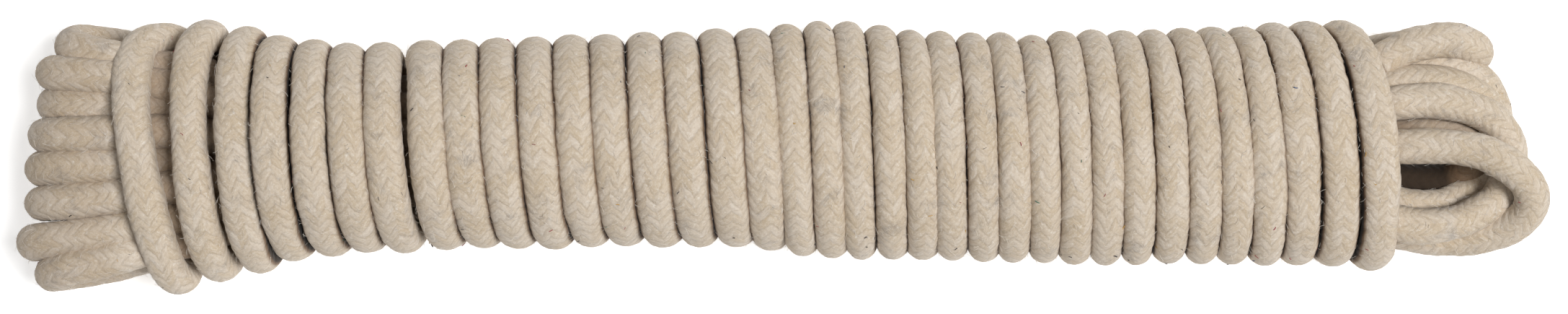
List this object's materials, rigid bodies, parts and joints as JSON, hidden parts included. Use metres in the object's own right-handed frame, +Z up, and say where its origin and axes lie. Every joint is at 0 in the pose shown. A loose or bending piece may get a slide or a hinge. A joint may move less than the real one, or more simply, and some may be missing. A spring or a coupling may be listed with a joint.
{
  "type": "coiled dock line",
  "caption": "Hank of natural cotton braided dock line, long folded lays bound by close turns, with rope folds at one end and an open rope loop at the other.",
  "frame": {"origin": "centre of the hank's box at the surface that it lies on", "axes": "+X along the hank from the folded end to the looped end, +Y across it, +Z up from the surface it lies on"},
  "size_m": [0.3609, 0.0651, 0.05],
  "materials": {
    "braid_lays": "soft matt cotton braid",
    "braid_turns": "soft matt cotton braid",
    "whipping_twine": "waxed twine"
  },
  "bodies": {
    "root": {"lay_bundle": "braid_lays", "first_turn": "braid_turns", "second_turn": "braid_turns", "shoulder_turns": "braid_turns", "waist_turns": "braid_turns", "belly_turns": "braid_turns", "end_turns": "braid_turns", "left_fold_1": "braid_lays", "left_fold_2": "braid_lays", "left_fold_3": "braid_lays", "left_fold_4": "braid_lays", "left_fold_5": "braid_lays", "left_fold_6": "braid_lays", "left_fold_7": "braid_lays", "left_fold_8": "braid_lays", "right_loop_1": "braid_lays", "right_loop_2": "braid_lays", "right_loop_3": "braid_lays", "right_loop_4": "braid_lays", "right_loop_5": "braid_lays", "right_loop_6": "braid_lays", "right_loop_7": "braid_lays", "winding_lead": "braid_lays", "tail_end": "braid_lays", "tail_whipping": "whipping_twine", "inner_end": "braid_lays", "inner_whipping": "whipping_twine"}
  },
  "joints": []
}
